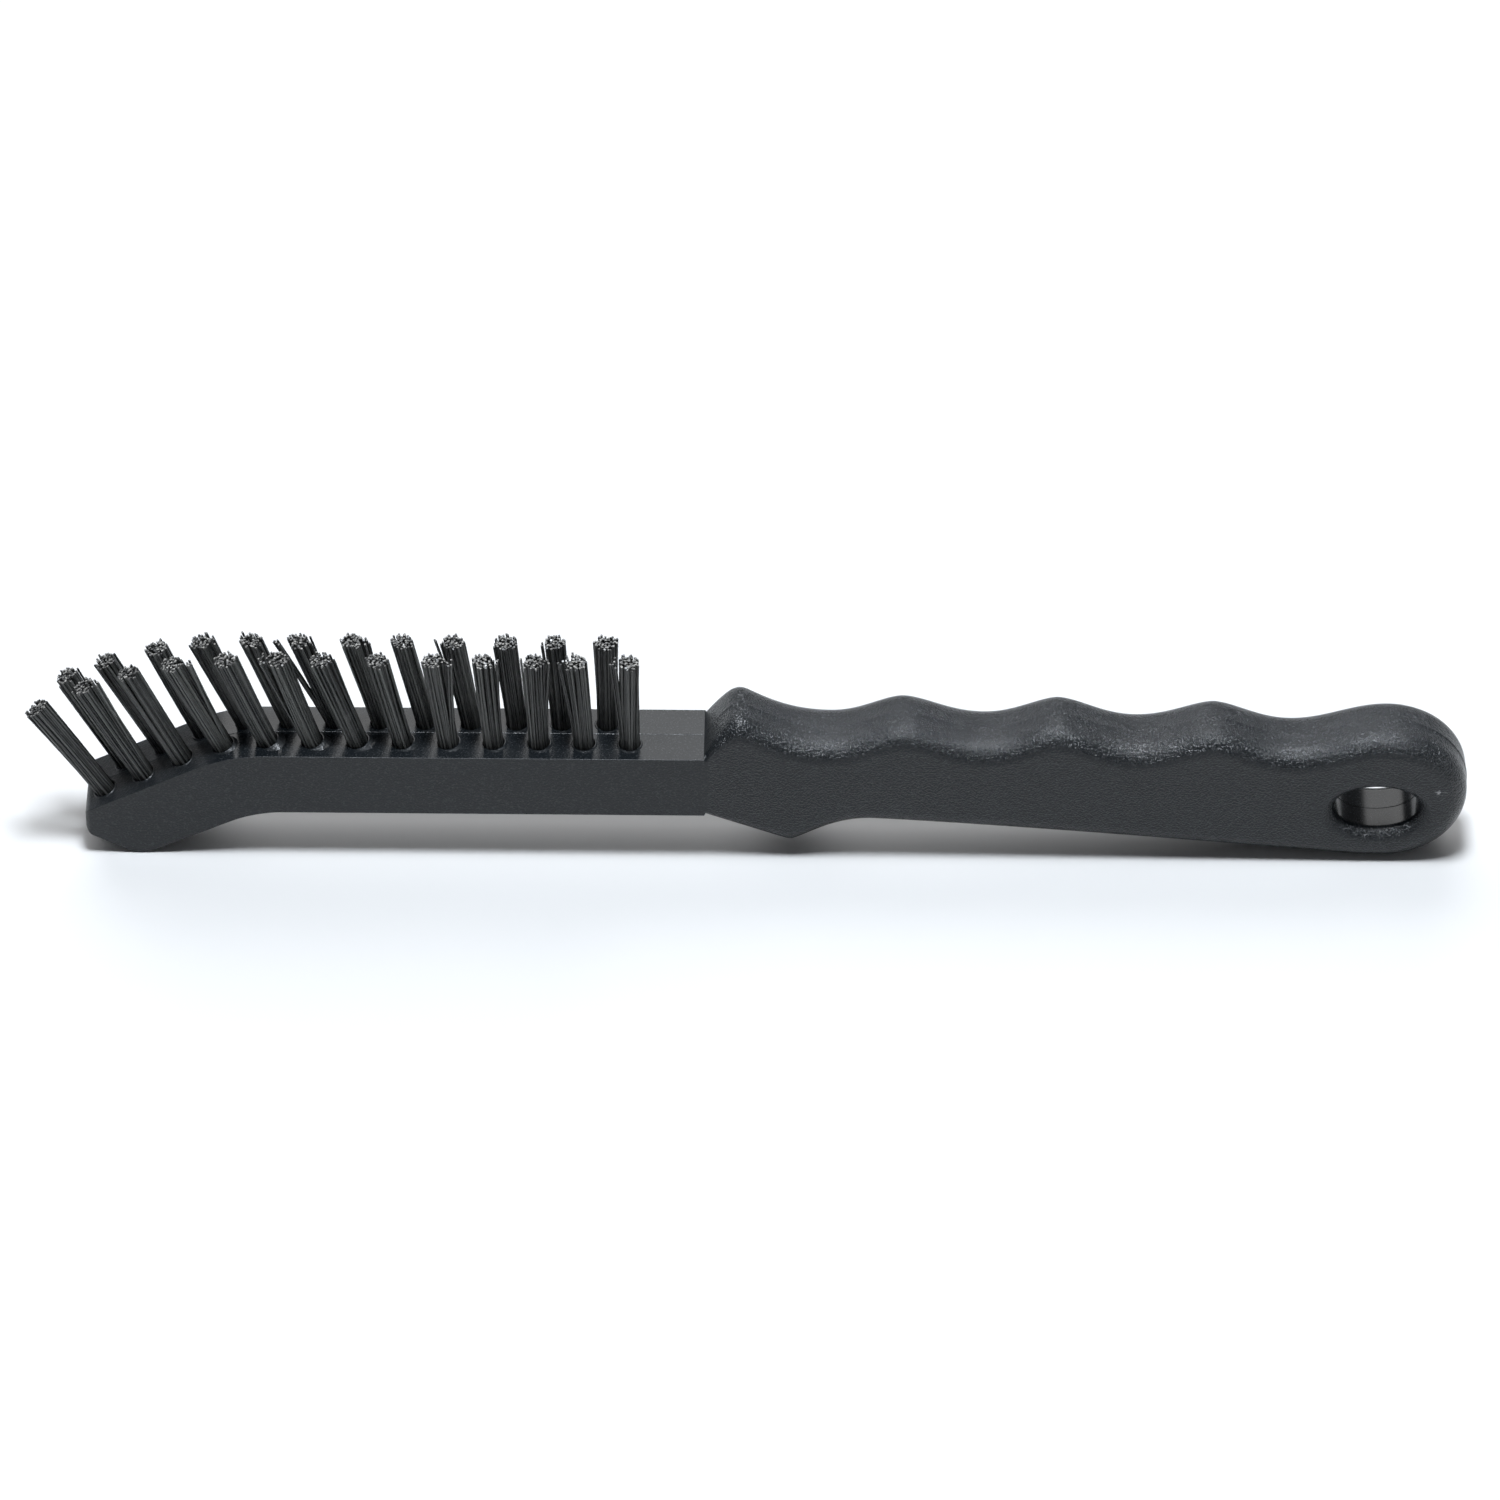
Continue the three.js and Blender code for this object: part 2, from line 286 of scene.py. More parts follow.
# ---------------------------------------------------------------- moulded body
def half_profile(half, rise, edge):
    """(y, height) from the middle of the far side over the rim to the middle of the near side."""
    flat = half - edge
    corner = rise - DRAFT * flat
    arc = [(s / EDGE_STEPS) * math.pi / 2 for s in range(EDGE_STEPS + 1)]
    far = [(half, 0.0)]
    far += [(flat + edge * math.cos(a), corner - edge + edge * math.sin(a)) for a in arc]
    far += [(flat / 2, rise - DRAFT * flat / 2)]
    far += [(PARTING_HALF, rise), (PARTING_HALF / 3, rise + PARTING_HEIGHT)]
    return far + [(-y, h) for y, h in reversed(far)]


def body_stations():
    """Where the body's rings stand, closer together where its outline curves."""
    bend_end_x = -82.0
    tip_end = [TIP_X + TIP_ROUNDING * (1 - math.cos(a)) for a in spaced(0.0, math.pi / 2, math.pi / 16)]
    bend = spaced(TIP_X + TIP_ROUNDING, bend_end_x, 0.7)
    straight = spaced(bend_end_x, FOOT_X, 5.0)
    ramp = spaced(FOOT_X, CRESTS[0][0], 0.3)
    grip = spaced(CRESTS[0][0], END_X, 0.7)
    return tip_end + bend + straight + ramp + grip + [END_X]


def body_ring(x):
    """The points of the closed ring at x."""
    top, base, half, top_edge, base_edge = section(x)
    mid = (top + base) / 2
    upper = [(x, y, mid + h) for y, h in half_profile(half, top - mid, top_edge)]
    lower = [(x, -y, mid - h) for y, h in half_profile(half, mid - base, base_edge)]
    return upper + lower[1:-1]


def end_arc(angle):
    """The points of the handle end's profile, turned to this angle about the middle of the end."""
    profile = half_profile(HALF_WIDTH, END_RADIUS, GRIP_EDGE)
    return [(END_X + h * math.cos(angle), y, END_RADIUS + h * math.sin(angle)) for y, h in profile]


def body_skin():
    """Rings along the body, then a half turn of the same profile round the handle end."""
    rings = [body_ring(x) for x in body_stations()]
    arcs = [end_arc(math.pi / 2 - math.pi * t / END_TURNS) for t in range(END_TURNS + 1)]
    ring_size = len(rings[0])
    arc_size = len(arcs[0])
    faces = []
    for r in range(len(rings) - 1):
        a = r * ring_size
        b = a + ring_size
        for i in range(ring_size):
            j = (i + 1) % ring_size
            faces.append((a + i, a + j, b + j, b + i))
    faces.append(tuple(reversed(range(ring_size))))

    first_arc = len(rings) * ring_size
    for r in range(END_TURNS):
        a = first_arc + r * arc_size
        b = a + arc_size
        for i in range(arc_size - 1):
            faces.append((a + i, a + i + 1, b + i + 1, b + i))
    points = [point for row in rings + arcs for point in row]
    mesh = mesh_from("brush_body_skin", points, faces)
    outward(mesh)
    return mesh


def lathe_y(name, profile, x, z, stretch, turns):
    """Solid of revolution about a line along Y through (x, z), stretched along X, from (radius, y) pairs."""
    points = []
    for radius, y in profile:
        for t in range(turns):
            angle = 2 * math.pi * t / turns
            points.append((x + stretch * radius * math.cos(angle), y, z + radius * math.sin(angle)))
    faces = []
    for r in range(len(profile) - 1):
        for t in range(turns):
            u = (t + 1) % turns
            faces.append((r * turns + t, r * turns + u, (r + 1) * turns + u, (r + 1) * turns + t))
    faces.append(tuple(range(turns)))
    faces.append(tuple((len(profile) - 1) * turns + t for t in reversed(range(turns))))
    mesh = mesh_from(name, points, faces)
    outward(mesh)
    return mesh


def hang_hole_cutter():
    """The bore with its flared rims. It narrows a little on the middle plane, which leaves the parting line."""
    flare = HOLE_RADIUS + HOLE_RIM
    side = HALF_WIDTH - HOLE_RIM
    half = [(HOLE_RADIUS - PARTING_HEIGHT, PARTING_HALF / 3), (HOLE_RADIUS, PARTING_HALF)]
    for s in range(RIM_STEPS + 1):
        a = math.pi / 2 * s / RIM_STEPS
        half.append((flare - HOLE_RIM * math.cos(a), side + HOLE_RIM * math.sin(a)))
    half.append((flare, HALF_WIDTH + 1))
    profile = [(r, -y) for r, y in reversed(half)] + half
    return lathe_y("hang_hole_cutter", profile, HOLE_X, HOLE_Z, HOLE_STRETCH, BORE_TURNS)


def combine(obj, operation, tool_mesh):
    """Applies an exact boolean with a closed mesh and keeps the result in obj's own mesh."""
    tool = new_object("tool", tool_mesh)
    modifier = obj.modifiers.new("combine", "BOOLEAN")
    modifier.operation = operation
    modifier.solver = "EXACT"
    modifier.object = tool
    depsgraph = bpy.context.evaluated_depsgraph_get()
    result = bpy.data.meshes.new_from_object(obj.evaluated_get(depsgraph))
    obj.modifiers.remove(modifier)
    obj.data = result
    bpy.data.objects.remove(tool)


def tuft_axis(label):
    """(foot, direction, length) of a tuft's CAD bar, in millimetres in the row frame."""
    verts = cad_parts[f"tuft_{label}"].data.vertices
    cloud = np.array([v.co[:] for v in verts]) / MM
    centre = cloud.mean(axis=0)
    direction = np.linalg.svd(cloud - centre)[2][0]
    direction[1] = 0.0
    direction *= math.copysign(1 / np.linalg.norm(direction), direction[2])
    along = (cloud - centre) @ direction
    low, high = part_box(f"tuft_{label}")
    axis_point = Vector(((low[0] + high[0]) / 2, (low[1] + high[1]) / 2, (low[2] + high[2]) / 2)) / MM
    length = along.max() - along.min()
    way = Vector(direction)
    return axis_point - way * length / 2, way, length


def labels():
    """The tufts' labels, such as near_01."""
    tufts = [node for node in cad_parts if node.startswith("tuft_")]
    return sorted(node.removeprefix("tuft_") for node in tufts)


def bars_along_tufts(name, low, high, low_radius, high_radius):
    """One round bar for each tuft, from low to high along its axis, measured from the head's surface."""
    turns = [2 * math.pi * i / BAR_SIDES for i in range(BAR_SIDES)]
    across = Vector((0.0, 1.0, 0.0))
    bm = bmesh.new()
    for label in labels():
        foot, way, _ = tuft_axis(label)
        surface = foot + way * TUFT_DEPTH
        side = Vector((way.z, 0.0, -way.x))
        loops = []
        for along, radius in ((low, low_radius), (high, high_radius)):
            spokes = [side * math.cos(a) + across * math.sin(a) for a in turns]
            loops.append([bm.verts.new((surface + way * along + radius * spoke) * MM) for spoke in spokes])
        for i in range(BAR_SIDES):
            j = (i + 1) % BAR_SIDES
            bm.faces.new((loops[0][i], loops[0][j], loops[1][j], loops[1][i]))
        bm.faces.new(list(reversed(loops[0])))
        bm.faces.new(loops[1])
    mesh = bpy.data.meshes.new(name)
    bmesh.ops.recalc_face_normals(bm, faces=bm.faces)
    bm.to_mesh(mesh)
    bm.free()
    return mesh


def make_body(material):
    """The moulded body, with its hang hole, and a lipped hole for each tuft."""
    body = new_object("moulded_body", body_skin())
    hole = TUFT_RADIUS + HOLE_CLEARANCE
    lip_root = hole + LIP_REACH + 0.5
    lip_crest = hole + 0.15
    combine(body, "DIFFERENCE", hang_hole_cutter())
    combine(body, "UNION", bars_along_tufts("lips", -1.0, LIP_HEIGHT, lip_root, lip_crest))
    combine(body, "DIFFERENCE", bars_along_tufts("holes", -TUFT_DEPTH - HOLE_SPARE, 6.0, hole, hole))
    mesh = body.data
    mesh.materials.clear()
    mesh.materials.append(material)
    mesh.polygons.foreach_set("use_smooth", [True] * len(mesh.polygons))
    mesh.set_sharp_from_angle(angle=math.radians(38))
    weighted = body.modifiers.new("weighted", "WEIGHTED_NORMAL")
    weighted.keep_sharp = True
    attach(body, "root")
    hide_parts("brush_body")


# ---------------------------------------------------------------- bristles
def strand_pairs(dice):
    """Even packing of a round bundle, as pairs of feet: the two ends of each doubled strand."""
    pairs = []
    for k in range(STRANDS):
        r = (TUFT_RADIUS - STRAND_RADIUS) * math.sqrt((k + 0.5) / STRANDS)
        a = r * math.cos(k * GOLDEN_ANGLE)
        b = r * math.sin(k * GOLDEN_ANGLE)
        if b > 0:
            pairs.append(((a + dice.gauss(0, FOOT_SCATTER), b), (a + dice.gauss(0, FOOT_SCATTER), -b)))
    return pairs


def trim_slope(x):
    """Rise of the trim line per millimetre of x."""
    over = max(0.0, TRIM_START_X - x)
    return over / math.sqrt(TRIM_RADIUS**2 - over**2)


def strand_end(foot, length, way, slope, lean, dice):
    """One end of a strand, from the head's surface to its cut, as (u, v, w) points with the tip first."""
    a, b = foot
    spread = STRAND_SPREAD + dice.gauss(0, SPREAD_SCATTER)
    tip_a = a * spread + dice.gauss(0, TIP_SCATTER) - math.tan(math.radians(lean)) * length
    tip_b = b * spread + dice.gauss(0, TIP_SCATTER)
    along_trim = tip_a * (slope * way.z + way.x) / (way.z - slope * way.x)
    tip_w = length - TRIM_LOSS + along_trim + dice.gauss(0, LENGTH_SCATTER)
    points = []
    for w in (tip_w, tip_w - 0.07, tip_w * 0.8, tip_w * 0.55, tip_w * 0.28, 0.0):
        t = max(0.0, w / tip_w) ** 1.25
        points.append((a + (tip_a - a) * t, b + (tip_b - b) * t, w))
    return points


def strand_path(pair, leans, length, way, slope, dice):
    """The whole doubled strand: tip, head surface, round under the anchor, and up to the other tip."""
    ends = [strand_end(foot, length, way, slope, lean, dice) for foot, lean in zip(pair, leans)]
    depth = 0.25 + 0.62 * pair[0][1]
    legs = []
    for foot, sign in zip(pair, (1, -1)):
        a = foot[0] * 0.9
        b = sign * max(0.86 * abs(foot[1]), ANCHOR_HALF)
        legs.append([(foot[0], b, NECK), (a, b, ANCHOR_TOP), (a, b, ANCHOR_FOOT)])
    middle_a = (legs[0][2][0] + legs[1][2][0]) / 2
    reach = legs[0][2][1]
    turn = [(middle_a, reach * math.cos(t), ANCHOR_FOOT - depth * math.sin(t))
            for t in (math.pi / 4, math.pi / 2, 3 * math.pi / 4)]
    return ends[0] + legs[0] + turn + legs[1][::-1] + ends[1][::-1]


def sweep(path, dice):
    """Rings of a strand along its path. The two end rings are cut at a slant."""
    path = np.array(path)
    tangents = np.gradient(path, axis=0)
    tangents /= np.linalg.norm(tangents, axis=1)[:, None]
    u_axis = np.array([1.0, 0.0, 0.0])
    normals = u_axis - tangents * (tangents @ u_axis)[:, None]
    normals /= np.linalg.norm(normals, axis=1)[:, None]
    binormals = np.cross(tangents, normals)
    start = dice.uniform(0, math.pi)
    angles = start + np.arange(STRAND_SIDES) * 2 * math.pi / STRAND_SIDES
    cosines = np.cos(angles)[None, :, None]
    sines = np.sin(angles)[None, :, None]
    ring = cosines * normals[:, None, :] + sines * binormals[:, None, :]
    points = path[:, None, :] + STRAND_RADIUS * ring
    for end in (0, -1):
        slant = STRAND_RADIUS * math.tan(math.radians(dice.uniform(-CUT_SLANT, CUT_SLANT)))
        points[end, :, 2] += slant * np.cos(angles + dice.uniform(0, 2 * math.pi))
    return points


def strand_faces(first, steps):
    """Sides and two end caps of a strand whose points start at index first."""
    faces = []
    for r in range(steps - 1):
        a = first + r * STRAND_SIDES
        b = a + STRAND_SIDES
        for s in range(STRAND_SIDES):
            t = (s + 1) % STRAND_SIDES
            faces.append((a + s, b + s, b + t, a + t))
    last = first + (steps - 1) * STRAND_SIDES
    faces.append(tuple(first + s for s in range(STRAND_SIDES)))
    faces.append(tuple(last + s for s in reversed(range(STRAND_SIDES))))
    return faces


def bundle(label, length, way, slope):
    """Points in (u, v, w), faces, cut-end marks and shades of all the strands in one tuft."""
    dice = random.Random(f"tuft {label}")
    stray_count, stray_lean = STRAYS.get(label, (0, 0.0))
    side = -1 if stray_lean > 0 else 1
    pairs = strand_pairs(dice)
    pairs.sort(key=lambda pair: side * pair[0][0], reverse=True)
    points = []
    faces = []
    marks = []
    shades = []
    for i, pair in enumerate(pairs):
        leans = [OFF_LEAN.get(label, 0.0) + dice.gauss(0, LEAN_SCATTER) for _ in pair]
        if i < stray_count:
            leans[dice.randrange(2)] += stray_lean * dice.uniform(0.6, 1.15)
        rings = sweep(strand_path(pair, leans, length, way, slope, dice), dice)
        steps = len(rings)
        faces.extend(strand_faces(len(points), steps))
        points.extend(rings.reshape(-1, 3).tolist())
        marks.extend([1.0] * STRAND_SIDES + [0.0] * STRAND_SIDES * (steps - 2) + [1.0] * STRAND_SIDES)
        shades.extend([dice.random()] * (STRAND_SIDES * (steps // 2)))
        shades.extend([dice.random()] * (STRAND_SIDES * (steps - steps // 2)))
    return np.array(points), faces, marks, shades


def make_tuft(label, material):
    """One tuft of separate strands in place of its CAD bar."""
    foot, way, total = tuft_axis(label)
    surface = foot + way * TUFT_DEPTH
    length = total - TUFT_DEPTH
    slope = trim_slope(surface.x - shift_x + way.x * length)
    local, faces, marks, shades = bundle(label, length, way, slope)
    u_axis = np.array([way.z, 0.0, -way.x])
    v_axis = np.array([0.0, 1.0, 0.0])
    placed = np.array(surface) + local[:, :1] * u_axis + local[:, 1:2] * v_axis + local[:, 2:] * np.array(way)
    mesh = bpy.data.meshes.new(f"bristles_{label}")
    mesh.from_pydata((placed * MM).tolist(), [], faces)
    outward(mesh)
    for name, values in (("cut_end", marks), ("strand_shade", shades)):
        attribute = mesh.attributes.new(name, "FLOAT", "POINT")
        attribute.data.foreach_set("value", values)
    mesh.polygons.foreach_set("use_smooth", [len(p.vertices) == 4 for p in mesh.polygons])
    mesh.materials.append(material)
    mesh.set_sharp_from_angle(angle=math.radians(70))
    tuft = new_object(f"bristles_{label}", mesh)
    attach(tuft, "root")
    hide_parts(f"tuft_{label}")


# ---------------------------------------------------------------- materials
class Nodes:
    """Short calls for building one material's node tree."""

    def __init__(self, name):
        self.material = bpy.data.materials.new(name)
        self.material.use_nodes = True
        self.tree = self.material.node_tree
        self.shader = self.tree.nodes["Principled BSDF"]

    def add(self, kind, **inputs):
        """A new node. An underscore in an input's name stands for a space."""
        node = self.tree.nodes.new(kind)
        for key, value in inputs.items():
            self.feed(node.inputs[key.replace("_", " ")], value)
        return node

    def feed(self, socket, value):
        """Links an output to the socket, or sets the socket to a plain value."""
        if isinstance(value, bpy.types.NodeSocket):
            self.tree.links.new(value, socket)
        else:
            socket.default_value = value

    def maths(self, operation, first, second=0.0, third=0.0):
        """The result of a Math node."""
        node = self.tree.nodes.new("ShaderNodeMath")
        node.operation = operation
        for socket, value in zip(node.inputs, (first, second, third)):
            self.feed(socket, value)
        return node.outputs[0]

    def ramp(self, value, low, high, to_low=0.0, to_high=1.0):
        """Smooth step from to_low at low to to_high at high."""
        node = self.tree.nodes.new("ShaderNodeMapRange")
        node.interpolation_type = "SMOOTHSTEP"
        for socket, setting in zip(node.inputs, (value, low, high, to_low, to_high)):
            self.feed(socket, setting)
        return node.outputs["Result"]

    def place(self):
        """Object coordinates, in metres."""
        return self.tree.nodes.new("ShaderNodeTexCoord").outputs["Object"]

    def stretched(self, scale):
        """Object coordinates times a scale for each axis."""
        node = self.tree.nodes.new("ShaderNodeMapping")
        self.feed(node.inputs["Vector"], self.place())
        node.inputs["Scale"].default_value = scale
        return node.outputs["Vector"]

    def noise(self, scale, detail=2.0, roughness=0.5, vector=None):
        """Noise from 0 to 1 on object coordinates or the given vector."""
        node = self.add("ShaderNodeTexNoise", Scale=scale, Detail=detail, Roughness=roughness)
        self.feed(node.inputs["Vector"], vector or self.place())
        return node.outputs["Fac"]

    def distance(self, vector, point):
        """How far a vector is from a fixed point."""
        node = self.tree.nodes.new("ShaderNodeVectorMath")
        node.operation = "DISTANCE"
        self.feed(node.inputs[0], vector)
        node.inputs[1].default_value = point
        return node.outputs["Value"]

    def mix(self, factor, first, second):
        """A blend of two colours. A Mix node has sockets for each data type, so these go by number."""
        node = self.tree.nodes.new("ShaderNodeMix")
        node.data_type = "RGBA"
        self.feed(node.inputs[0], factor)
        self.feed(node.inputs[6], first)
        self.feed(node.inputs[7], second)
        return node.outputs[2]

    def attribute(self, name):
        """A mesh attribute with one number for each point."""
        node = self.tree.nodes.new("ShaderNodeAttribute")
        node.attribute_name = name
        return node.outputs["Fac"]

    def bump(self, height, distance, strength=1.0, normal=None):
        """A normal tilted by the height, on top of the given normal."""
        node = self.add("ShaderNodeBump", Height=height, Distance=distance, Strength=strength)
        if normal is not None:
            self.feed(node.inputs["Normal"], normal)
        return node.outputs["Normal"]

    def set_shader(self, **inputs):
        """Feeds the main shader. An underscore in an input's name stands for a space."""
        for key, value in inputs.items():
            self.feed(self.shader.inputs[key.replace("_", " ")], value)


def outside_bore(n):
    """0 in the hang hole's bore and 1 outside it."""
    from_bore = n.distance(n.stretched((1.0 / HOLE_STRETCH, 0.0, 1.0)),
                           ((HOLE_X + shift_x) * MM / HOLE_STRETCH, 0.0, HOLE_Z * MM))
    edge = HOLE_RADIUS * MM
    return n.ramp(from_bore, edge + 0.00010, edge + 0.00030)


def scuff(n):
    """1 on the small pale scuff beside the hang hole, and 0 elsewhere."""
    flattening = 1.8
    centre = ((127.4 + shift_x) * MM, -0.0062, 0.0179 * flattening)
    near_scuff = n.ramp(n.distance(n.stretched((1.0, 1.0, flattening)), centre), 0.0004, 0.0016, 1.0, 0.0)
    return n.maths("MULTIPLY", near_scuff, n.ramp(n.noise(1600.0, 2.0, 0.6), 0.50, 0.60))


def plastic_colour(n, cloud, rubbed):
    """Near-black plastic with soft clouds, fine grey flecks, faint rubbed lines and the scuff."""
    colour = n.mix(cloud, (0.0045, 0.0065, 0.0085, 1), (0.0075, 0.0100, 0.0125, 1))
    flecks = n.ramp(n.noise(2600.0, 2.0, 0.6), 0.53, 0.68)
    colour = n.mix(flecks, colour, (0.024, 0.027, 0.030, 1))
    colour = n.mix(n.maths("MULTIPLY", rubbed, 0.05), colour, (0.040, 0.043, 0.046, 1))
    return n.mix(scuff(n), colour, (0.36, 0.36, 0.37, 1))


def plastic_normal(n, head_gloss, grip_grain, outside):
    """Spark grain on the grip, a fainter one elsewhere, and a slight swell on the glossy top of the head."""
    pebbles = n.ramp(n.noise(2500.0, 1.5, 0.5), 0.36, 0.64)
    grain = n.maths("MULTIPLY_ADD", n.noise(5200.0, 2.0, 0.6), 0.5, n.maths("MULTIPLY", pebbles, 0.6))
    satin = n.maths("MULTIPLY", n.maths("MULTIPLY_ADD", head_gloss, -0.22, 0.26), outside)
    height = n.maths("MULTIPLY", grain, n.maths("MAXIMUM", grip_grain, satin))
    swell = n.maths("MULTIPLY", n.noise(150.0, 2.0, 0.5), n.maths("MULTIPLY", head_gloss, 0.8))
    return n.bump(swell, 0.00012, normal=n.bump(height, 0.00019))


def plastic_roughness(n, head_gloss, grip_grain, outside, cloud, rubbed):
    """Satin, and smoother on the head's top, in the bore, and between the grains of the grip."""
    in_bore = n.maths("SUBTRACT", 1.0, outside)
    rough = n.maths("MULTIPLY_ADD", head_gloss, -0.22, 0.40)
    rough = n.maths("MULTIPLY_ADD", grip_grain, -0.19, rough)
    rough = n.maths("MULTIPLY_ADD", in_bore, -0.20, rough)
    rough = n.maths("MULTIPLY_ADD", cloud, 0.06, rough)
    return n.maths("MULTIPLY_ADD", rubbed, -0.02, rough)


def body_material():
    """Black moulded plastic: glossy on the head's top, satin on the sides, finely grained on the grip."""
    n = Nodes("black_moulded_plastic")
    position = n.add("ShaderNodeSeparateXYZ", Vector=n.place()).outputs
    geometry = n.tree.nodes.new("ShaderNodeNewGeometry")
    normal = n.add("ShaderNodeSeparateXYZ", Vector=geometry.outputs["Normal"]).outputs
    foot = (FOOT_X + shift_x) * MM
    on_grip = n.ramp(position["X"], foot - 0.0002, foot + 0.0015)
    facing_up = n.ramp(normal["Z"], 0.90, 0.98)
    head_gloss = n.maths("MULTIPLY", facing_up, n.maths("SUBTRACT", 1.0, on_grip))
    sideways = n.ramp(n.maths("ABSOLUTE", normal["Y"]), 0.80, 0.99)
    outside = outside_bore(n)
    less_on_sides = n.maths("MULTIPLY_ADD", sideways, -0.35, 1.0)
    grip_grain = n.maths("MULTIPLY", n.maths("MULTIPLY", on_grip, outside), less_on_sides)
    cloud = n.ramp(n.noise(38.0, 4.0, 0.6), 0.3, 0.7)
    lines = n.noise(1.0, 2.0, 0.5, n.stretched((60.0, 900.0, 1500.0)))
    rubbed = n.ramp(lines, 0.60, 0.76)
    n.set_shader(
        Base_Color=plastic_colour(n, cloud, rubbed),
        Normal=plastic_normal(n, head_gloss, grip_grain, outside),
        Roughness=plastic_roughness(n, head_gloss, grip_grain, outside, cloud, rubbed),
        Specular_IOR_Level=0.39,
    )
    return n.material


def filament_material():
    """Dark grey drawn filament with light cut ends. Each half of a strand has a shade of its own."""
    n = Nodes("dark_drawn_filament")
    shade = n.attribute("strand_shade")
    side = n.mix(n.maths("POWER", shade, 1.7), (0.007, 0.008, 0.008, 1), (0.098, 0.100, 0.096, 1))
    dusty = n.ramp(n.noise(700.0, 3.0, 0.6), 0.45, 0.75, 0.0, 0.4)
    side = n.mix(dusty, side, (0.085, 0.085, 0.080, 1))
    end = n.mix(n.ramp(shade, 0.2, 1.0), (0.07, 0.07, 0.07, 1), (0.40, 0.39, 0.37, 1))
    sheared = n.ramp(n.noise(3500.0, 2.0, 0.6), 0.42, 0.62, 0.5, 0.0)
    end = n.mix(sheared, end, (0.08, 0.08, 0.08, 1))
    streak = n.noise(1.0, 2.0, 0.5, n.stretched((2600.0, 2600.0, 120.0)))
    n.set_shader(
        Base_Color=n.mix(n.attribute("cut_end"), side, end),
        Roughness=n.maths("MULTIPLY_ADD", streak, 0.22, 0.27),
        Normal=n.bump(streak, 0.00002, 0.6),
    )
    return n.material


def anchor_material():
    """Flat drawn wire, with fine lines along its length."""
    n = Nodes("drawn_anchor_wire")
    lines = n.noise(1.0, 3.0, 0.6, n.stretched((150.0, 4000.0, 4000.0)))
    n.set_shader(
        Metallic=1.0,
        Base_Color=n.mix(lines, (0.42, 0.40, 0.36, 1), (0.62, 0.60, 0.55, 1)),
        Roughness=n.maths("MULTIPLY_ADD", lines, 0.3, 0.22),
        Normal=n.bump(lines, 0.00002, 0.7),
    )
    return n.material


def floor_material():
    """Plain pale matt floor."""
    n = Nodes("pale_floor")
    n.set_shader(Base_Color=(0.78, 0.78, 0.78, 1), Roughness=0.85, Specular_IOR_Level=0.2)
    return n.material


# ---------------------------------------------------------------- stage, light and camera
def make_floor(material):
    """A square floor at the height that the CAD model stands on."""
    half_side = 1.2  # metres
    bm = bmesh.new()
    bmesh.ops.create_grid(bm, x_segments=8, y_segments=8, size=half_side)
    mesh = bpy.data.meshes.new("floor")
    bm.to_mesh(mesh)
    bm.free()
    mesh.materials.append(material)
    floor = new_object("floor", mesh)
    floor.location.z = cad_box[0][2]


def area_light(name, place, width, depth, power, colour):
    """A rectangular light, aimed at the middle of the floor."""
    light = bpy.data.lights.new(name, "AREA")
    light.shape = "RECTANGLE"
    light.size = width
    light.size_y = depth
    light.energy = power
    light.color = colour
    lamp = bpy.data.objects.new(name, light)
    bpy.context.scene.collection.objects.link(lamp)
    lamp.location = place
    lamp.rotation_euler = (-Vector(place)).to_track_quat("-Z", "Y").to_euler()
    return lamp


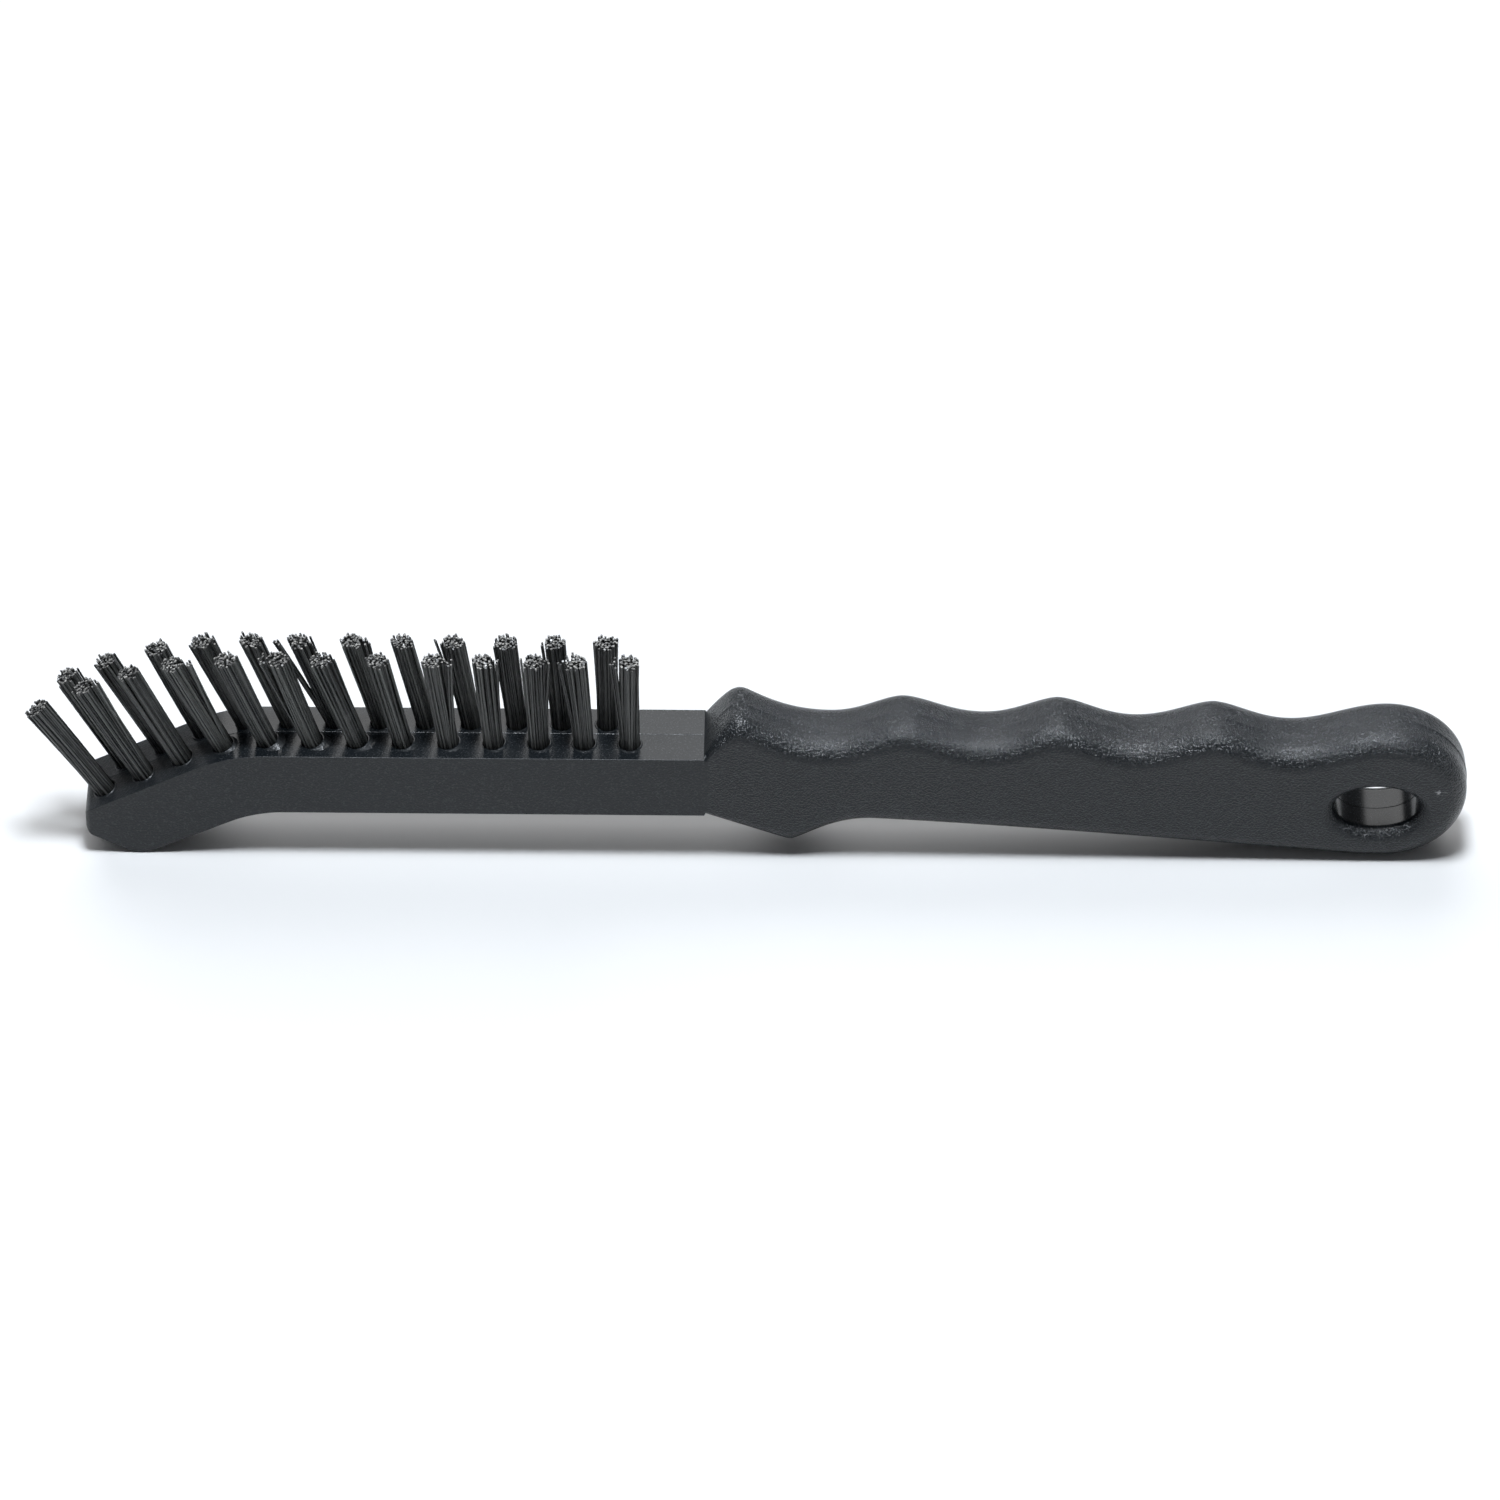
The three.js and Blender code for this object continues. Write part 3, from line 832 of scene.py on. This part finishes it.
def make_world():
    """Dim even light from all round, which the camera sees as a pale backdrop."""
    world = bpy.data.worlds.new("studio")
    world.use_nodes = True
    nodes = world.node_tree.nodes
    link = world.node_tree.links.new
    fill = nodes["Background"]
    fill.inputs["Color"].default_value = (0.93, 0.95, 1.0, 1)
    fill.inputs["Strength"].default_value = 0.11
    backdrop = nodes.new("ShaderNodeBackground")
    backdrop.inputs["Color"].default_value = (0.95, 0.96, 0.97, 1)
    rays = nodes.new("ShaderNodeLightPath")
    choose = nodes.new("ShaderNodeMixShader")
    link(rays.outputs["Is Camera Ray"], choose.inputs["Fac"])
    link(fill.outputs["Background"], choose.inputs[1])
    link(backdrop.outputs["Background"], choose.inputs[2])
    link(choose.outputs["Shader"], nodes["World Output"].inputs["Surface"])
    bpy.context.scene.world = world


def make_lights():
    """A large panel behind the brush and two small ones almost overhead."""
    area_light("back_panel", (-0.25, 1.5, 1.45), 2.0, 1.8, 27.5, (0.99, 0.995, 1.0))
    area_light("overhead_box", (0.04, -0.09, 1.2), 0.26, 0.26, 15.5, (0.90, 0.95, 1.0))
    glints = area_light("glint_box", (0.02, -0.12, 1.15), 0.30, 0.30, 29.0, (0.86, 0.92, 1.0))
    glints.visible_diffuse = False  # it only shows as highlights, so the floor stays evenly lit


def make_camera():
    """A long lens above the near side, aimed close to the middle of the CAD box."""
    lens = bpy.data.cameras.new("camera")
    lens.sensor_width = SENSOR_WIDTH
    lens.lens = LENS_LENGTH
    lens.clip_start = 0.1
    lens.clip_end = 20.0
    camera = bpy.data.objects.new("camera", lens)
    bpy.context.scene.collection.objects.link(camera)
    middle = (Vector(cad_box[0]) + Vector(cad_box[1])) / 2
    target = middle - Vector((AIM_LEFT, 0, AIM_DROP))
    level = math.cos(VIEW_ELEVATION)
    back = Vector((-math.sin(VIEW_AZIMUTH) * level, -math.cos(VIEW_AZIMUTH) * level, math.sin(VIEW_ELEVATION)))
    camera.location = target + back * VIEW_DISTANCE
    camera.rotation_mode = "QUATERNION"
    camera.rotation_quaternion = (-back).to_track_quat("-Z", "Y")
    bpy.context.scene.camera = camera


# ---------------------------------------------------------------- the scene
make_camera()
make_world()
make_lights()
make_floor(floor_material())
bpy.context.scene.view_settings.view_transform = "Standard"

make_body(body_material())
filament = filament_material()
for tuft_label in labels():
    make_tuft(tuft_label, filament)

anchor_finish = anchor_material()
for node_name, node_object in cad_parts.items():
    if node_name.startswith("anchor_"):
        for slot_holder in node_object.material_slots:
            slot_holder.material = anchor_finish
